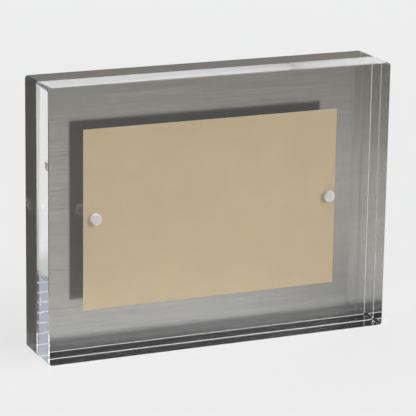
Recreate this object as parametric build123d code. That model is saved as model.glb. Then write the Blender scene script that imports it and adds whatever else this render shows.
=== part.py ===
from build123d import *
import os

os.makedirs("parts", exist_ok=True)

# A free-standing picture frame: two clear blocks that small magnets hold together round a card.
# All lengths are in millimetres. X runs to the right, Y to the back and Z up. The origin lies under
# the middle of the frame, on the surface that the frame stands on.

# The two clear blocks, with the edge that is polished all round both faces of each
frame_width = 203.2
frame_height = 153.6
front_block_depth = 18.6
back_block_depth = 17.4
corner_radius = 1.8
edge_bevel = 0.5

# The card between them: a little off the middle, to the left and down, as the photograph shows it
card_width = 151.8
card_height = 101.4
card_thickness = 0.3
card_shift_left = 1.5
card_shift_down = 0.6
# The air that is left between the card and each block
card_play = 0.05

# The brushed sheet that is bonded to the back of the back block
sheet_thickness = 0.6

# The magnets, one at each side of each block, glued into blind bores in the faces that meet. They lie
# a little inside the ends of the card, so that they pinch it.
magnet_diameter = 5.0
magnet_length = 3.0
magnet_rim_radius = 0.3
magnet_inside_card_end = 5.45
glue_wall = 0.6

# Where each layer starts, from the front of the frame to its back
gap_depth = card_thickness + 2 * card_play
frame_depth = front_block_depth + gap_depth + back_block_depth + sheet_thickness
front_block_y = -frame_depth / 2
gap_y = front_block_y + front_block_depth
card_y = gap_y + card_play
back_block_y = gap_y + gap_depth
sheet_y = back_block_y + back_block_depth

middle_z = frame_height / 2
bore_diameter = magnet_diameter + 2 * glue_wall
magnet_x = card_width / 2 - magnet_inside_card_end

SIDES = {"left": -1, "right": 1}


def plane_facing_front(x, y, z):
    """A drawing plane at a point, seen from the front: X to the right and Z up."""
    return Plane(origin=(x, y, z), x_dir=(1, 0, 0), z_dir=(0, -1, 0))


def slab(outline, y, depth, x=0, z=middle_z):
    """An outline drawn on such a plane and drawn out to the back."""
    return extrude(plane_facing_front(x, y, z) * outline, amount=-depth)


def frame_outline(inset):
    """The frame's rounded rectangle, drawn in on all sides by an inset."""
    width = frame_width - 2 * inset
    height = frame_height - 2 * inset
    return RectangleRounded(width, height, corner_radius - inset)


def clear_block(y, depth, bore_y):
    """A clear block with polished edges and a blind bore for the magnet at each side."""
    block = slab(frame_outline(0), y, depth)
    faces = block.faces().sort_by(Axis.Y)
    block = chamfer(faces[0].edges() + faces[-1].edges(), edge_bevel)
    for side in SIDES.values():
        block -= slab(Circle(bore_diameter / 2), bore_y, magnet_length, x=side * magnet_x)
    return block


def magnet(y, side):
    """A plated disc with rounded rims."""
    disc = slab(Circle(magnet_diameter / 2), y, magnet_length, x=side * magnet_x)
    return fillet(disc.edges().filter_by(GeomType.CIRCLE), magnet_rim_radius)


def glue_ring(y, side):
    """The white ring of set glue that fills the space between a magnet and its bore."""
    ring = Circle(bore_diameter / 2) - Circle(magnet_diameter / 2)
    return slab(ring, y, magnet_length, x=side * magnet_x)


def photo_card():
    """The card, held between the blocks."""
    card = Rectangle(card_width, card_height)
    return slab(card, card_y, card_thickness, x=-card_shift_left, z=middle_z - card_shift_down)


def back_sheet():
    """The brushed sheet, which covers the flat of the back block's back up to its bevel."""
    return slab(frame_outline(edge_bevel), sheet_y, sheet_thickness)


# The bores open towards the card: at the back of the front block and the front of the back block
bore_starts = {"front": gap_y - magnet_length, "back": back_block_y}

parts = {
    "front_block": clear_block(front_block_y, front_block_depth, bore_starts["front"]),
    "back_block": clear_block(back_block_y, back_block_depth, bore_starts["back"]),
    "back_sheet": back_sheet(),
    "photo_card": photo_card(),
}
for block_name, bore_start in bore_starts.items():
    for side_name, side in SIDES.items():
        parts[f"{block_name}_magnet_{side_name}"] = magnet(bore_start, side)
        parts[f"{block_name}_glue_{side_name}"] = glue_ring(bore_start, side)

for name, solid in parts.items():
    export_step(solid, f"parts/{name}.step")
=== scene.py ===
import math

import bmesh
import bpy
from mathutils import Matrix, Vector


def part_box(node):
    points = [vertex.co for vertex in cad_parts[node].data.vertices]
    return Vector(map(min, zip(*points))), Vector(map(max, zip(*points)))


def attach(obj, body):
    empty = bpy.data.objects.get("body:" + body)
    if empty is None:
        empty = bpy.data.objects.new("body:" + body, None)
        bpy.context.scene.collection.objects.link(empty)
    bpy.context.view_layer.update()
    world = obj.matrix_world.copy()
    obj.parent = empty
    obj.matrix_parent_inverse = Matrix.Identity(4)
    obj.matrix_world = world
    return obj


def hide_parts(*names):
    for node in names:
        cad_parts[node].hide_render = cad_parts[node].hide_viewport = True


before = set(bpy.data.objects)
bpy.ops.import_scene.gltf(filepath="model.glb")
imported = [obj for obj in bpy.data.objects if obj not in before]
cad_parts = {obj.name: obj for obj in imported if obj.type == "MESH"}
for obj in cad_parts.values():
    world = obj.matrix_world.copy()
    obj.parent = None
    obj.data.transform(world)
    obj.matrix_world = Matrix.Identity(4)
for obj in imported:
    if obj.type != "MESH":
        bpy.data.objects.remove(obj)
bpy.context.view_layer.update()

# The clear block frame: two polished acrylic blocks with a card between them, a brushed sheet behind
# and four small magnets. All lengths are in metres.
MM = 0.001

# Sizes that the CAD boxes don't give. The steps are the numbers of flats that make each curve: a corner, a
# rim and a bore
CORNER_RADIUS = 1.8 * MM
CORNER_STEPS = 20
EDGE_BEVEL = 0.5 * MM
REAR_BEVEL = 0.25 * MM
EDGE_STEPS = 6
ROUND_STEPS = 96
# The profile that makes a bevel a quarter of a circle
ROUND_PROFILE = 0.5
# Bonded surfaces of two pieces lie this far apart, so that they never share one plane
BOND_GAP = 0.02 * MM
# A point that is less than this away from a plane lies in it
LEVEL_REACH = BOND_GAP / 10
# Faces are told apart by the X, Y and Z of their normals: which way they mainly point, whether they lie
# square to an axis, and whether they lean as a rounded rim does
MAINLY = 0.5
SQUARE_TO_AXIS = 0.9999
RIM_LEAN = (0.001, 0.999)

# Real acrylic has 1.49. A little more turns the light in the front block so that the squares at its lower
# left show the wall, as they do in the photograph
ACRYLIC_IOR = 1.53
# How coarse the patterns are. The streaks, grain, tumbling marks and bubbles are drawn coarser than the
# real ones, which are too fine to show
STREAK_LENGTH = 70 * MM
STREAK_WIDTH = 0.9 * MM
CLOUD_LENGTH = 260 * MM
CLOUD_WIDTH = 9 * MM
PAPER_CLOUD = 30 * MM
PAPER_GRAIN = 1.2 * MM
TUMBLE_MARK = 1.0 * MM
BUBBLE = 0.8 * MM
# How much of the metal's tone comes from its wide clouds. The streaks give the rest
CLOUD_SHARE = 0.4
# The part of each noise's range that its two tones are spread over
STREAK_SPREAD = (0.3, 0.7)
PAPER_SPREAD = (0.7, 1.3)
# How matt the surfaces are, from 0 for a mirror to 1, and how strongly the brushing draws reflections out
METAL_ROUGHNESS = 0.135
METAL_BRUSHING = 0.5
CARD_ROUGHNESS = 0.75
CUT_ROUGHNESS = 0.85
PLATE_ROUGHNESS = (0.34, 0.44)
EPOXY_ROUGHNESS = 0.35
# The relief of the card's grain
GRAIN_STRENGTH = 0.15
GRAIN_DEPTH = 0.05 * MM

# The places of the finishes in a block's list of materials, after the acrylic, and in the card's, after
# its face
GLUE_FINISH = 1
PLATE_FINISH = 2
SHEET_FINISH = 3
CARD_BACK = 1
CARD_CORE = 2

SIDES = ("left", "right")


def linear(hex_colour):
    """An sRGB hex colour as linear RGBA."""
    channels = [int(hex_colour[i:i + 2], 16) / 255 for i in (1, 3, 5)]
    return [c / 12.92 if c <= 0.04045 else ((c + 0.055) / 1.055) ** 2.4 for c in channels] + [1]


def add(tree, kind, inputs=None, **settings):
    """Adds a node with its settings. An input is a value, or another node's output socket."""
    node = tree.nodes.new("ShaderNode" + kind)
    for name, value in settings.items():
        setattr(node, name, value)
    for name, value in (inputs or {}).items():
        if isinstance(value, bpy.types.NodeSocket):
            tree.links.new(value, node.inputs[name])
        else:
            node.inputs[name].default_value = value
    return node


def new_material(name):
    """An empty node material."""
    material = bpy.data.materials.new(name)
    material.use_nodes = True
    material.node_tree.nodes.clear()
    return material, material.node_tree


def clear_acrylic():
    """Cast acrylic, diamond milled and polished: clear as water, with mirror-sharp faces that pipe the
    light from edge to edge."""
    material, tree = new_material("cast_acrylic_polished")
    shader = add(tree, "BsdfPrincipled", {
        "Base Color": linear("#feffff"),
        "Transmission Weight": 1.0,
        "Roughness": 0.0,
        "IOR": ACRYLIC_IOR,
    })
    add(tree, "OutputMaterial", {"Surface": shader.outputs["BSDF"]})
    return material


def brushed_pewter():
    """Metal laminate, brushed level to a pewter grey: fine lines along it, and reflections smeared
    up and down across them."""
    material, tree = new_material("pewter_laminate_brushed")
    place = add(tree, "TexCoord").outputs["Object"]
    # The real lines are about 0.1 mm apart, which is too fine to show, so these are drawn coarser
    fine = add(tree, "Mapping", {"Vector": place, "Scale": (1 / STREAK_LENGTH, 1, 1 / STREAK_WIDTH)})
    streak = add(tree, "TexNoise", {"Vector": fine.outputs["Vector"], "Scale": 1.0, "Detail": 3.0})
    wide = add(tree, "Mapping", {"Vector": place, "Scale": (1 / CLOUD_LENGTH, 1, 1 / CLOUD_WIDTH)})
    cloud = add(tree, "TexNoise", {"Vector": wide.outputs["Vector"], "Scale": 1.0, "Detail": 2.0})
    spread = add(tree, "MapRange", {"Value": streak.outputs["Fac"],
                                    "From Min": STREAK_SPREAD[0], "From Max": STREAK_SPREAD[1]})
    lines = add(tree, "MixRGB", {"Fac": spread.outputs["Result"],
                                 "Color1": linear("#999692"), "Color2": linear("#bbb8b4")})
    worn = add(tree, "MixRGB", {"Fac": cloud.outputs["Fac"],
                                "Color1": linear("#9b9792"), "Color2": linear("#bdbab6")})
    colour = add(tree, "MixRGB", {"Fac": CLOUD_SHARE, "Color1": lines.outputs["Color"],
                                  "Color2": worn.outputs["Color"]})
    shader = add(tree, "BsdfPrincipled", {
        "Base Color": colour.outputs["Color"],
        "Metallic": 1.0,
        "Roughness": METAL_ROUGHNESS,
        "Anisotropic": METAL_BRUSHING,
        "Tangent": add(tree, "Tangent", direction_type="UV_MAP", uv_map="grain").outputs["Tangent"],
    })
    add(tree, "OutputMaterial", {"Surface": shader.outputs["BSDF"]})
    return material


def card_face():
    """Uncoated card, printed tan all over: matt, with the faint cloud and grain of paper."""
    material, tree = new_material("card_stock_printed_tan")
    place = add(tree, "TexCoord").outputs["Object"]
    cloud = add(tree, "TexNoise", {"Vector": place, "Scale": 1 / PAPER_CLOUD, "Detail": 2.0})
    # Paper fibres are finer than a pixel of the photograph, so the grain is drawn at a few of them
    grain = add(tree, "TexNoise", {"Vector": place, "Scale": 1 / PAPER_GRAIN, "Detail": 2.0})
    mixed = add(tree, "Math", {0: cloud.outputs["Fac"], 1: grain.outputs["Fac"]}, operation="ADD")
    share = add(tree, "MapRange", {"Value": mixed.outputs["Value"],
                                   "From Min": PAPER_SPREAD[0], "From Max": PAPER_SPREAD[1]})
    colour = add(tree, "MixRGB", {"Fac": share.outputs["Result"],
                                  "Color1": linear("#c5b08c"), "Color2": linear("#ccb793")})
    bump = add(tree, "Bump", {"Height": grain.outputs["Fac"],
                              "Strength": GRAIN_STRENGTH, "Distance": GRAIN_DEPTH})
    shader = add(tree, "BsdfPrincipled", {
        "Base Color": colour.outputs["Color"],
        "Roughness": CARD_ROUGHNESS,
        "Normal": bump.outputs["Normal"],
    })
    add(tree, "OutputMaterial", {"Surface": shader.outputs["BSDF"]})
    return material


def card_back():
    """The card's back, coloured dark brown as painted shade for its unlit side, so that it shows as a dark
    shadow in the brushed sheet.
    """
    material, tree = new_material("card_back_painted_shade")
    place = add(tree, "TexCoord").outputs["Object"]
    cloud = add(tree, "TexNoise", {"Vector": place, "Scale": 1 / PAPER_CLOUD, "Detail": 3.0})
    # Painted shade: the dark brown stands in for the back lying unlit behind the card
    colour = add(tree, "MixRGB", {"Fac": cloud.outputs["Fac"],
                                  "Color1": linear("#2c241d"), "Color2": linear("#382f26")})
    shader = add(tree, "BsdfPrincipled", {"Base Color": colour.outputs["Color"],
                                          "Roughness": CARD_ROUGHNESS})
    add(tree, "OutputMaterial", {"Surface": shader.outputs["BSDF"]})
    return material


def card_core():
    """The card's cut edge: the pale core of the paper, a little rough from the knife."""
    material, tree = new_material("card_stock_cut_edge")
    place = add(tree, "TexCoord").outputs["Object"]
    cut = add(tree, "TexNoise", {"Vector": place, "Scale": 1 / PAPER_GRAIN, "Detail": 2.0})
    colour = add(tree, "MixRGB", {"Fac": cut.outputs["Fac"],
                                  "Color1": linear("#dccfae"), "Color2": linear("#e8dfc6")})
    shader = add(tree, "BsdfPrincipled", {"Base Color": colour.outputs["Color"],
                                          "Roughness": CUT_ROUGHNESS})
    add(tree, "OutputMaterial", {"Surface": shader.outputs["BSDF"]})
    return material


def nickel_plate():
    """Nickel plate, tumbled bright: pale metal with soft reflections and faint tumbling marks."""
    material, tree = new_material("nickel_plate_tumbled")
    place = add(tree, "TexCoord").outputs["Object"]
    marks = add(tree, "TexNoise", {"Vector": place, "Scale": 1 / TUMBLE_MARK, "Detail": 2.0})
    colour = add(tree, "MixRGB", {"Fac": marks.outputs["Fac"],
                                  "Color1": linear("#e6e4df"), "Color2": linear("#f1efeb")})
    rough = add(tree, "MapRange", {"Value": marks.outputs["Fac"],
                                   "To Min": PLATE_ROUGHNESS[0], "To Max": PLATE_ROUGHNESS[1]})
    shader = add(tree, "BsdfPrincipled", {
        "Base Color": colour.outputs["Color"],
        "Metallic": 1.0,
        "Roughness": rough.outputs["Result"],
    })
    add(tree, "OutputMaterial", {"Surface": shader.outputs["BSDF"]})
    return material


def white_epoxy():
    """White epoxy, poured round the magnet and set: opaque, with a soft gloss and a trace of small
    bubbles."""
    material, tree = new_material("epoxy_white_set")
    place = add(tree, "TexCoord").outputs["Object"]
    bubbles = add(tree, "TexNoise", {"Vector": place, "Scale": 1 / BUBBLE, "Detail": 1.0})
    colour = add(tree, "MixRGB", {"Fac": bubbles.outputs["Fac"],
                                  "Color1": linear("#eeeeec"), "Color2": linear("#fafaf8")})
    shader = add(tree, "BsdfPrincipled", {"Base Color": colour.outputs["Color"],
                                          "Roughness": EPOXY_ROUGHNESS})
    add(tree, "OutputMaterial", {"Surface": shader.outputs["BSDF"]})
    return material


def finish_mesh(bm, name, materials, body):
    """Makes the mesh an object that rides on a body, with its faces pointing outwards."""
    bmesh.ops.recalc_face_normals(bm, faces=bm.faces)
    mesh = bpy.data.meshes.new(name)
    bm.to_mesh(mesh)
    bm.free()
    for material in materials:
        mesh.materials.append(material)
    piece = bpy.data.objects.new(name, mesh)
    bpy.context.scene.collection.objects.link(piece)
    if body:
        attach(piece, body)
    return piece


def box_mesh(low, high):
    """A bmesh box between two corners."""
    bm = bmesh.new()
    bmesh.ops.create_cube(bm, size=1)
    size = high - low
    bmesh.ops.scale(bm, vec=size, verts=bm.verts)
    bmesh.ops.translate(bm, vec=(low + high) / 2, verts=bm.verts)
    return bm


def level_with(edge, y):
    """Whether an edge lies in the plane at that depth."""
    return all(abs(v.co.y - y) < LEVEL_REACH for v in edge.verts)


def rounded_slab(low, high, radius, front_bevel, rear_bevel):
    """A slab with round corners, seen from the front, and eased rims round its two faces."""
    bm = box_mesh(low, high)
    along_y = [e for e in bm.edges if abs(e.verts[0].co.y - e.verts[1].co.y) > (high.y - low.y) / 2]
    bmesh.ops.bevel(bm, geom=along_y, offset=radius, segments=CORNER_STEPS, profile=ROUND_PROFILE,
                    affect="EDGES", clamp_overlap=False, material=-1)
    for face in bm.faces:
        sideways = max(abs(face.normal.x), abs(face.normal.z))
        face.smooth = abs(face.normal.y) < MAINLY and sideways < SQUARE_TO_AXIS
    for y, bevel in ((low.y, front_bevel), (high.y, rear_bevel)):
        if bevel:
            rim = [e for e in bm.edges if level_with(e, y)]
            bmesh.ops.bevel(bm, geom=rim, offset=bevel, segments=EDGE_STEPS, profile=ROUND_PROFILE,
                            affect="EDGES", clamp_overlap=False, material=-1)
    for face in bm.faces:
        if RIM_LEAN[0] < abs(face.normal.y) < RIM_LEAN[1]:
            face.smooth = True
    return bm


def drill(bm, face_y, floor_y, centres, radius, ring):
    """Cuts blind bores into the face at face_y. A bore's floor gets a ring and, inside it, a disc."""
    face = next(f for f in bm.faces if all(level_with(e, face_y) for e in f.edges))
    rim = list(face.edges)
    bmesh.ops.delete(bm, geom=[face], context="FACES_ONLY")
    upright = Matrix.Rotation(math.radians(90), 4, "X")
    mouths = []
    for centre in centres:
        place = Matrix.Translation((centre.x, face_y, centre.z)) @ upright
        made = bmesh.ops.create_circle(bm, segments=ROUND_STEPS, radius=radius, matrix=place)
        mouths.append(list({e for v in made["verts"] for e in v.link_edges}))
    bmesh.ops.triangle_fill(bm, edges=rim + [e for mouth in mouths for e in mouth], use_beauty=True)
    for mouth in mouths:
        grown = bmesh.ops.extrude_edge_only(bm, edges=mouth)["geom"]
        verts = [g for g in grown if isinstance(g, bmesh.types.BMVert)]
        bmesh.ops.translate(bm, vec=(0, floor_y - face_y, 0), verts=verts)
        for wall in (g for g in grown if isinstance(g, bmesh.types.BMFace)):
            wall.smooth = True
            wall.material_index = GLUE_FINISH
        edges = [g for g in grown if isinstance(g, bmesh.types.BMEdge)]
        base = bmesh.ops.contextual_create(bm, geom=edges)["faces"]
        around = bmesh.ops.inset_individual(bm, faces=base, thickness=ring)["faces"]
        for part in around:
            part.material_index = GLUE_FINISH
        for part in base:
            part.material_index = PLATE_FINISH


def clear_block(body, mouth_at_back, materials):
    """A clear block. Its bores are a hair wider and deeper than what fills them, and their walls carry
    the glue's and the magnet's own finish, because both are bonded to the acrylic with no air between."""
    node = f"{body}_block"
    low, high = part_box(node)
    glue_low, glue_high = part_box(f"{body}_glue_left")
    magnet_low, magnet_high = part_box(f"{body}_magnet_left")
    radius = (glue_high.x - glue_low.x) / 2 + BOND_GAP
    ring = (glue_high.x - glue_low.x - magnet_high.x + magnet_low.x) / 2
    centres = [sum(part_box(f"{body}_magnet_{side}"), Vector()) / 2 for side in SIDES]
    if mouth_at_back:
        bm = rounded_slab(low, high, CORNER_RADIUS, EDGE_BEVEL, EDGE_BEVEL)
        drill(bm, high.y, glue_low.y - BOND_GAP, centres, radius, ring)
    else:
        bm = rounded_slab(low, high - Vector((0, BOND_GAP, 0)), CORNER_RADIUS, EDGE_BEVEL, REAR_BEVEL)
        drill(bm, low.y, glue_high.y + BOND_GAP, centres, radius, ring)
        back = high.y - BOND_GAP
        for face in bm.faces:
            if all(level_with(e, back) for e in face.edges):
                face.material_index = SHEET_FINISH
    piece = finish_mesh(bm, f"clear_{node}", materials, body)
    lay_grain(piece)
    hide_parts(node)


def lay_grain(piece):
    """A map whose first direction runs up the piece, across the level grain of the brushing."""
    layer = piece.data.uv_layers.new(name="grain")
    for loop in piece.data.loops:
        place = piece.data.vertices[loop.vertex_index].co
        layer.data[loop.index].uv = (place.z, place.x)


def back_sheet(material):
    """The brushed sheet on the back."""
    low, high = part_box("back_sheet")
    bm = rounded_slab(low, high, CORNER_RADIUS - EDGE_BEVEL, 0, 0)
    piece = finish_mesh(bm, "brushed_sheet", [material], "back")
    lay_grain(piece)
    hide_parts("back_sheet")


def photo_card(face_card, back_card, core):
    """The card: tan in front, painted dark behind as shade, with a pale cut edge."""
    low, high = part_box("photo_card")
    bm = box_mesh(low, high)
    for face in bm.faces:
        if abs(face.normal.y) < MAINLY:
            face.material_index = CARD_CORE
        elif face.calc_center_median().y > (low.y + high.y) / 2:
            face.material_index = CARD_BACK
    piece = finish_mesh(bm, "insert_card", [face_card, back_card, core], "card")
    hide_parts("photo_card")


plate, epoxy, acrylic, pewter = nickel_plate(), white_epoxy(), clear_acrylic(), brushed_pewter()
clear_block("front", True, [acrylic, epoxy, plate])
clear_block("back", False, [acrylic, epoxy, plate, pewter])
back_sheet(pewter)
photo_card(card_face(), card_back(), card_core())
for block in ("front", "back"):
    for side in SIDES:
        for piece, material in (("magnet", plate), ("glue", epoxy)):
            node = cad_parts[f"{block}_{piece}_{side}"]
            node.data.materials.clear()
            node.data.materials.append(material)


# The studio. Directions are unit vectors from the frame: X right, Y to the back, Z up
KEY_TOWARD = Vector((0.74, -0.42, 0.53)).normalized()
KEY_STRENGTH = 8.6
# The lamp is at full strength up to the core, and ends at the edge: degrees from its middle
KEY_CORE = 14
KEY_EDGE = 26
LAMP_WHITE = "#ffffff"
OVERHEAD = "#f0f0f0"
# The overhead light begins and is full at these heights, and the walls' low part ends between the next
# two: all are the Z of a direction
OVERHEAD_FROM = 0.60
OVERHEAD_FULL = 0.80
WALL_LOW_TOP = 0.235
WALL_HIGH_BASE = 0.265
# The walls' tones, high up and low down
WALL_HIGH = "#a9b2c2"
WALL_PALE = "#dcdfe2"
# A greyer stretch of wall at the back: its middle, and how near to that its tone begins and is full
WALL_GREY = "#bfbbb5"
GREY_TOWARD = (0.34, 0.94, 0.0)
GREY_FROM = 0.78
GREY_FULL = 0.91
# The dark of the room behind the camera, high up and low down. It begins and is full where the Y of a
# direction has these values
ROOM_HIGH = "#120d0a"
ROOM_LOW = "#26211f"
ROOM_FROM = -0.45
ROOM_FULL = -0.75

# The paper's tones: in itself, as the eye sees it close to the frame and far off, and as glass and metal
# show it under and behind the frame, in front, at the left and beside the right end. What glass and metal
# see is painted light and shade: a bright glow under and behind the frame, warmer light in front, the
# frame's shadow at the left and a shade beside the right end
PAPER = "#e4e4e4"
PAPER_NEAR = "#eaeaea"
PAPER_FAR = "#f2f2f2"
PAPER_BRIGHT = "#f8fbfe"
PAPER_WARM = "#f4f1ed"
PAPER_SHADE = "#a9a39c"
PAPER_DIM = "#c4c4c2"
# The pool of light painted on the paper, in its colour and in its glow: its middle, and the distances from
# it over which it falls to a first level and then to a share of that
POOL_MIDDLE = (-0.06, 0.15, 0.0)
POOL_FALL = (0.14, 0.42)
POOL_LEVEL = 0.80
DUSK_FALL = (0.55, 0.95)
DUSK_LEVEL = 0.60
# Where each stretch of the paper begins and is full. Behind the frame the painted pool keeps its
# brightness, and in front the paper glows with warmer painted light
BEHIND = (0.01, 0.05)
IN_FRONT = (-0.02, -0.08)
# The frame's painted shadow at the left is full at the first X and gone at the second, and this share of
# it is lifted in front
AT_LEFT = (-0.115, -0.085)
FRONT_LIFT = 0.35
# The painted shade beside the right end: its middle, and the distances at which it is full and gone
SHADE_MIDDLE = (0.18, -0.02, 0.0)
SHADE_FALL = (0.04, 0.16)
# How much of the paper's brightness the eye sees as its own: the rest takes the frame's shadow
EYE_SHARE = 0.85
# How far the paper reaches each way, and how far it lies under the frame
FLOOR_REACH = 6
FLOOR_DROP = 0.1 * MM


def floor():
    """Pale paper with painted light and shade. Away from the frame a painted pool of light falls off into
    the half dark of the studio, in the paper's colour and in a glow that only glass and metal show, with
    painted shade at the left and beside the right end: to the eye the paper stays pale all over, with the
    frame's shadow on it."""
    bm = bmesh.new()
    bmesh.ops.create_grid(bm, x_segments=1, y_segments=1, size=FLOOR_REACH)
    bmesh.ops.translate(bm, vec=(0, 0, -FLOOR_DROP), verts=bm.verts)
    material, tree = new_material("studio_paper")
    place = add(tree, "TexCoord").outputs["Object"]
    axes = add(tree, "SeparateXYZ", {"Vector": place}).outputs
    away = add(tree, "VectorMath", {0: place, 1: POOL_MIDDLE}, operation="DISTANCE").outputs["Value"]
    near = add(tree, "MapRange", {"Value": away, "From Min": POOL_FALL[0], "From Max": POOL_FALL[1],
                                  "To Min": 1.0, "To Max": POOL_LEVEL}, interpolation_type="SMOOTHSTEP")
    behind = add(tree, "MapRange", {"Value": axes["Y"], "From Min": BEHIND[0], "From Max": BEHIND[1]})
    close = add(tree, "Math", {0: near.outputs["Result"], 1: behind.outputs["Result"]}, operation="MAXIMUM")
    far = add(tree, "MapRange", {"Value": away, "From Min": DUSK_FALL[0], "From Max": DUSK_FALL[1],
                                 "To Min": 1.0, "To Max": DUSK_LEVEL}, interpolation_type="SMOOTHSTEP")
    pool = add(tree, "Math", {0: close.outputs["Value"], 1: far.outputs["Result"]},
               operation="MULTIPLY").outputs["Value"]

    path = add(tree, "LightPath").outputs
    eye = path["Is Camera Ray"]
    # The painted pool of light darkens the paper's colour and dims its glow away from the frame; to the eye
    # both stay full
    strength = add(tree, "Math", {0: pool, 1: eye}, operation="MAXIMUM").outputs["Value"]
    pool_shaded_colour = add(tree, "MixRGB", {"Fac": strength, "Color1": linear("#000000"), "Color2": linear(PAPER)})
    paper = add(tree, "BsdfDiffuse", {"Color": pool_shaded_colour.outputs["Color"]})

    # What glass and metal see: painted warmer light in front, painted shade beside the right end and the
    # frame's painted shadow at the left
    front = add(tree, "MapRange", {"Value": axes["Y"], "From Min": IN_FRONT[0], "From Max": IN_FRONT[1]})
    bright = add(tree, "MixRGB", {"Fac": front.outputs["Result"],
                                  "Color1": linear(PAPER_BRIGHT), "Color2": linear(PAPER_WARM)})
    beside = add(tree, "VectorMath", {0: place, 1: SHADE_MIDDLE}, operation="DISTANCE").outputs["Value"]
    open_paper = add(tree, "MapRange", {"Value": beside,
                                        "From Min": SHADE_FALL[0], "From Max": SHADE_FALL[1]},
                     interpolation_type="SMOOTHSTEP")
    unshaded = add(tree, "Math", {0: open_paper.outputs["Result"], 1: behind.outputs["Result"]},
                   operation="MAXIMUM")
    shaded = add(tree, "MixRGB", {"Fac": unshaded.outputs["Value"],
                                  "Color1": linear(PAPER_DIM), "Color2": bright.outputs["Color"]})
    lit = add(tree, "MapRange", {"Value": axes["X"], "From Min": AT_LEFT[0], "From Max": AT_LEFT[1]})
    lifted = add(tree, "Math", {0: front.outputs["Result"], 1: FRONT_LIFT}, operation="MULTIPLY")
    least = add(tree, "Math", {0: lit.outputs["Result"], 1: lifted.outputs["Value"]}, operation="MAXIMUM")
    in_glass = add(tree, "MixRGB", {"Fac": least.outputs["Value"],
                                    "Color1": linear(PAPER_SHADE), "Color2": shaded.outputs["Color"]})
    to_eye = add(tree, "MixRGB", {"Fac": pool, "Color1": linear(PAPER_FAR), "Color2": linear(PAPER_NEAR)})
    tone = add(tree, "MixRGB", {"Fac": eye, "Color1": in_glass.outputs["Color"],
                                "Color2": to_eye.outputs["Color"]})
    # The paper's glow: to the eye its pale tones, to glass and metal the painted light and shade
    seen = add(tree, "Emission", {"Color": tone.outputs["Color"], "Strength": strength})

    bent = add(tree, "Math", {0: path["Is Glossy Ray"], 1: path["Is Transmission Ray"]}, operation="MAXIMUM")
    to_share = add(tree, "Math", {0: eye, 1: EYE_SHARE}, operation="MULTIPLY")
    share = add(tree, "Math", {0: bent.outputs["Value"], 1: to_share.outputs["Value"]}, operation="MAXIMUM")
    mix = add(tree, "MixShader", {0: share.outputs["Value"], 1: paper.outputs["BSDF"],
                                  2: seen.outputs["Emission"]})
    add(tree, "OutputMaterial", {"Surface": mix.outputs["Shader"]})
    finish_mesh(bm, "studio_floor", [material], None)


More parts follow.
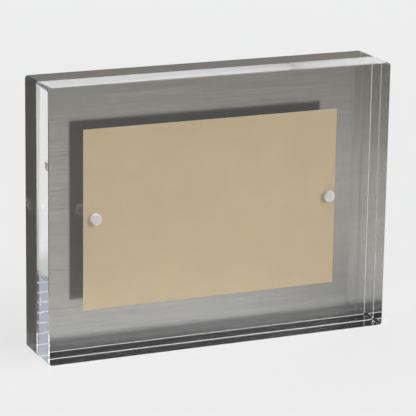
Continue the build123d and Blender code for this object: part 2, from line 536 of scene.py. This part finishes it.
def studio_light():
    """Soft light from overhead and one lamp at the upper right, between grey walls, with the dark of the
    room behind the camera."""
    world = bpy.data.worlds.new("studio")
    bpy.context.scene.world = world
    world.use_nodes = True
    tree = world.node_tree
    tree.nodes.clear()
    direction = add(tree, "TexCoord").outputs["Generated"]
    axes = add(tree, "SeparateXYZ", {"Vector": direction}).outputs

    walls = add(tree, "MapRange", {"Value": axes["Y"], "From Min": ROOM_FULL, "From Max": ROOM_FROM},
                interpolation_type="SMOOTHSTEP").outputs["Result"]
    high = add(tree, "MixRGB", {"Fac": walls, "Color1": linear(ROOM_HIGH), "Color2": linear(WALL_HIGH)})
    toward = add(tree, "VectorMath", {0: direction, 1: GREY_TOWARD}, operation="DOT_PRODUCT").outputs["Value"]
    grey = add(tree, "MapRange", {"Value": toward, "From Min": GREY_FROM, "From Max": GREY_FULL},
               interpolation_type="SMOOTHSTEP")
    wall = add(tree, "MixRGB", {"Fac": grey.outputs["Result"],
                                "Color1": linear(WALL_PALE), "Color2": linear(WALL_GREY)})
    low = add(tree, "MixRGB", {"Fac": walls, "Color1": linear(ROOM_LOW), "Color2": wall.outputs["Color"]})
    rise = add(tree, "MapRange", {"Value": axes["Z"], "From Min": WALL_LOW_TOP, "From Max": WALL_HIGH_BASE},
               interpolation_type="SMOOTHSTEP")
    around = add(tree, "MixRGB", {"Fac": rise.outputs["Result"],
                                  "Color1": low.outputs["Color"], "Color2": high.outputs["Color"]})
    above = add(tree, "MapRange", {"Value": axes["Z"], "From Min": OVERHEAD_FROM, "From Max": OVERHEAD_FULL},
                interpolation_type="SMOOTHSTEP")
    sky = add(tree, "MixRGB", {"Fac": above.outputs["Result"],
                               "Color1": around.outputs["Color"], "Color2": linear(OVERHEAD)})
    soft = add(tree, "Background", {"Color": sky.outputs["Color"]})

    aside = add(tree, "VectorMath", {0: direction, 1: KEY_TOWARD}, operation="DOT_PRODUCT").outputs["Value"]
    lamp = add(tree, "MapRange", {
        "Value": aside,
        "From Min": math.cos(math.radians(KEY_EDGE)),
        "From Max": math.cos(math.radians(KEY_CORE)),
        "To Max": KEY_STRENGTH,
    }, interpolation_type="SMOOTHSTEP")
    key = add(tree, "Background", {"Color": linear(LAMP_WHITE), "Strength": lamp.outputs["Result"]})
    light = add(tree, "AddShader", {0: soft.outputs["Background"], 1: key.outputs["Background"]})
    backdrop = add(tree, "Background", {"Color": linear(PAPER_FAR)})
    eye = add(tree, "LightPath").outputs["Is Camera Ray"]
    mix = add(tree, "MixShader", {0: eye, 1: light.outputs["Shader"], 2: backdrop.outputs["Background"]})
    add(tree, "OutputWorld", {"Surface": mix.outputs["Shader"]})


# The camera of the photograph: from the left and a little above, far off with a long lens. Its roll is in
# degrees, and the lens and the sensor are in millimetres
CAMERA_PLACE = Vector((-513.66, -1150.31, 413.95)) * MM
CAMERA_AIM = Vector((-8.85, -18.5, 79.99)) * MM
CAMERA_ROLL = 0.863
CAMERA_LENS = 202.89
CAMERA_SENSOR = 36


def camera():
    """Sets up the camera and makes it the scene's."""
    data = bpy.data.cameras.new("camera")
    data.sensor_width = CAMERA_SENSOR
    data.lens = CAMERA_LENS
    looking = (CAMERA_AIM - CAMERA_PLACE).to_track_quat("-Z", "Y").to_matrix().to_4x4()
    rolled = looking @ Matrix.Rotation(math.radians(CAMERA_ROLL), 4, "Z")
    eye = bpy.data.objects.new("camera", data)
    eye.matrix_world = Matrix.Translation(CAMERA_PLACE) @ rolled
    bpy.context.scene.collection.objects.link(eye)
    bpy.context.scene.camera = eye


# Light runs from end to end of the blocks by many reflections inside them, and needs few between matt
# surfaces
CLEAR_BOUNCES = 40
SOFT_BOUNCES = 6

floor()
studio_light()
camera()

scene = bpy.context.scene
scene.view_settings.view_transform = "Standard"
scene.cycles.max_bounces = CLEAR_BOUNCES
scene.cycles.transmission_bounces = CLEAR_BOUNCES
scene.cycles.glossy_bounces = CLEAR_BOUNCES
scene.cycles.diffuse_bounces = SOFT_BOUNCES
# The blocks pipe light down to the floor under them, so light keeps its sharp path after a soft bounce
scene.cycles.blur_glossy = 0
